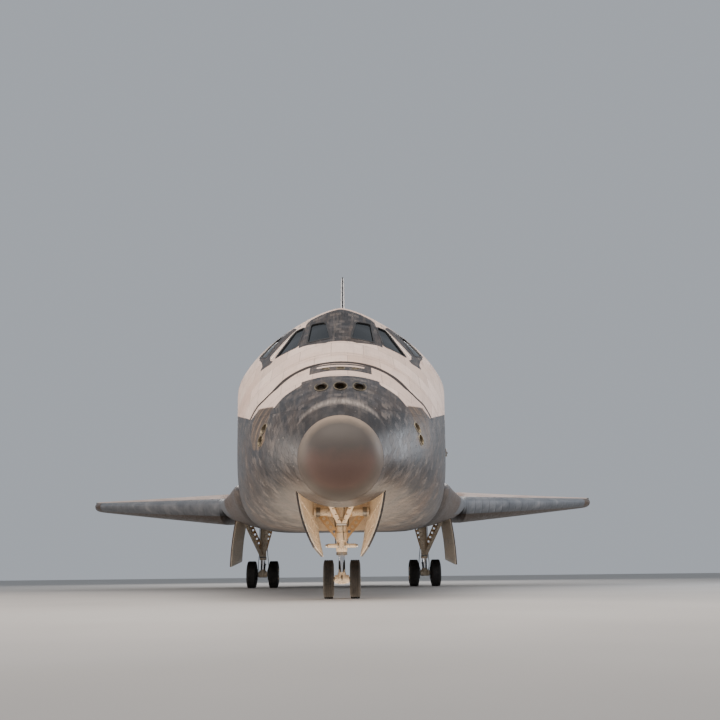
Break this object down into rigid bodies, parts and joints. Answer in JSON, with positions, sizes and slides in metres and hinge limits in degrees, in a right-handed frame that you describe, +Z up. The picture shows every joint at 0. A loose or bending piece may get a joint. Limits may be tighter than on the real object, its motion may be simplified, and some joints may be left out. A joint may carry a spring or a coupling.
{
  "type": "winged space shuttle orbiter on its landing gear",
  "caption": "Full-size winged reusable spacecraft parked on its wheels, with hinged cargo bay doors, crew hatch, elevons, body flap, split rudder and steered nose wheels.",
  "frame": {"origin": "on the floor, midway between the nose tip and the rear of the fin, on the plane of symmetry", "axes": "+X to port, -Y towards the nose, +Z up"},
  "size_m": [23.788, 36.3291, 17.2672],
  "materials": {
    "white_blanket": "matte",
    "black_tile": "satin",
    "carbon_edge": "satin",
    "window_glass": "gloss",
    "engine_metal": "satin",
    "hinge_metal": "satin",
    "tyre_rubber": "matte",
    "cabin_fitting": "matte",
    "gear_paint": "satin"
  },
  "bodies": {
    "airframe": {"aft_fuselage": "white_blanket", "cabin_windows": "window_glass", "crew_cabin": "white_blanket", "crew_seat_left": "cabin_fitting", "crew_seat_right": "cabin_fitting", "flight_deck": "cabin_fitting", "forward_thruster_module": "white_blanket", "instrument_panel": "cabin_fitting", "main_engine_left": "engine_metal", "main_engine_right": "engine_metal", "main_engine_top": "engine_metal", "main_gear_brace_left": "gear_paint", "main_gear_brace_right": "gear_paint", "main_gear_door_left": "black_tile", "main_gear_door_right": "black_tile", "main_gear_leg_left": "gear_paint", "main_gear_leg_right": "gear_paint", "manoeuvring_pod_left": "white_blanket", "manoeuvring_pod_right": "white_blanket", "mid_fuselage": "white_blanket", "nose_cap": "carbon_edge", "nose_gear_brace": "gear_paint", "nose_gear_door_left": "black_tile", "nose_gear_door_right": "black_tile", "nose_gear_leg": "gear_paint", "nose_section": "black_tile", "pod_engine_bell_left": "engine_metal", "pod_engine_bell_right": "engine_metal", "vertical_stabilizer": "white_blanket", "wing_leading_edge_left": "carbon_edge", "wing_leading_edge_right": "carbon_edge", "wing_left": "black_tile", "wing_right": "black_tile"},
    "nose_fork": {"nose_gear_piston": "gear_paint"},
    "nose_wheels": {"nose_wheel_hubs": "gear_paint", "nose_tyre_left": "tyre_rubber", "nose_tyre_right": "tyre_rubber"},
    "main_wheels_left": {"main_left_wheel_hubs": "gear_paint", "main_left_tyre_left": "tyre_rubber", "main_left_tyre_right": "tyre_rubber"},
    "main_wheels_right": {"main_right_wheel_hubs": "gear_paint", "main_right_tyre_left": "tyre_rubber", "main_right_tyre_right": "tyre_rubber"},
    "rudder": {"rudder_core": "hinge_metal"},
    "body_flap": {"body_flap": "black_tile"},
    "crew_hatch": {"crew_hatch": "white_blanket"},
    "inboard_elevon_left": {"inboard_elevon_left": "black_tile"},
    "inboard_elevon_right": {"inboard_elevon_right": "black_tile"},
    "outboard_elevon_left": {"outboard_elevon_left": "black_tile"},
    "outboard_elevon_right": {"outboard_elevon_right": "black_tile"},
    "speedbrake_left": {"speedbrake_left": "white_blanket"},
    "speedbrake_right": {"speedbrake_right": "white_blanket"},
    "payload_bay_door_left": {"payload_bay_door_left": "white_blanket"},
    "payload_bay_door_right": {"payload_bay_door_right": "white_blanket"}
  },
  "joints": [
    {"name": "nose_steering", "type": "hinge", "parent": "airframe", "child": "nose_fork", "pos_m": [0, -14.66, 1], "axis": [0, 0, 1], "range_deg": [-10, 10]},
    {"name": "nose_wheel_spin", "type": "hinge", "parent": "nose_fork", "child": "nose_wheels", "pos_m": [0, -14.66, 0.40001], "axis": [1, 0, 0], "continuous": true},
    {"name": "main_wheel_spin_left", "type": "hinge", "parent": "airframe", "child": "main_wheels_left", "pos_m": [3.455, 5.69, 0.55804], "axis": [1, 0, 0], "continuous": true},
    {"name": "main_wheel_spin_right", "type": "hinge", "parent": "airframe", "child": "main_wheels_right", "pos_m": [-3.455, 5.69, 0.55804], "axis": [1, 0, 0], "continuous": true},
    {"name": "inboard_elevon_left_hinge", "type": "hinge", "parent": "airframe", "child": "inboard_elevon_left", "pos_m": [5, 11.03406, 3.30836], "axis": [0.9975, -0.0048, 0.0711], "range_deg": [-18, 33.5]},
    {"name": "inboard_elevon_right_hinge", "type": "hinge", "parent": "airframe", "child": "inboard_elevon_right", "pos_m": [-5, 11.03406, 3.30836], "axis": [0.9975, 0.0048, -0.0711], "range_deg": [-18, 33.5]},
    {"name": "outboard_elevon_left_hinge", "type": "hinge", "parent": "airframe", "child": "outboard_elevon_left", "pos_m": [9.6, 11.012, 3.63614], "axis": [0.9975, -0.0048, 0.0711], "range_deg": [-18, 33.5]},
    {"name": "outboard_elevon_right_hinge", "type": "hinge", "parent": "airframe", "child": "outboard_elevon_right", "pos_m": [-9.6, 11.012, 3.63614], "axis": [0.9975, 0.0048, -0.0711], "range_deg": [-18, 33.5]},
    {"name": "body_flap_hinge", "type": "hinge", "parent": "airframe", "child": "body_flap", "pos_m": [0, 14.8143, 3.50624], "axis": [1, 0, 0], "range_deg": [-22.55, 11.7]},
    {"name": "rudder_turn", "type": "hinge", "parent": "airframe", "child": "rudder", "pos_m": [0, 14.88525, 13.55367], "axis": [0, 0.5154, 0.857], "range_deg": [-22.8, 22.8]},
    {"name": "speedbrake_left_open", "type": "hinge", "parent": "rudder", "child": "speedbrake_left", "pos_m": [0, 14.88525, 13.55367], "axis": [0, -0.5154, -0.857], "range_deg": [0, 43.6]},
    {"name": "speedbrake_right_open", "type": "hinge", "parent": "rudder", "child": "speedbrake_right", "pos_m": [0, 14.88525, 13.55367], "axis": [0, 0.5154, 0.857], "range_deg": [0, 43.6]},
    {"name": "payload_bay_door_left_hinge", "type": "hinge", "parent": "airframe", "child": "payload_bay_door_left", "pos_m": [2.67496, -0.40307, 5.85978], "axis": [0, 0.9977, 0.0671], "range_deg": [0, 175.5]},
    {"name": "payload_bay_door_right_hinge", "type": "hinge", "parent": "airframe", "child": "payload_bay_door_right", "pos_m": [-2.67496, -0.40307, 5.85978], "axis": [0, -0.9977, -0.0671], "range_deg": [0, 175.5]},
    {"name": "crew_hatch_hinge", "type": "hinge", "parent": "airframe", "child": "crew_hatch", "pos_m": [2.65, -11.43002, 3.46297], "axis": [0, 0.9977, 0.0671], "range_deg": [0, 90]}
  ],
  "couplings": [
    {"joint": "speedbrake_right_open", "follows": "speedbrake_left_open", "ratio": 1}
  ]
}
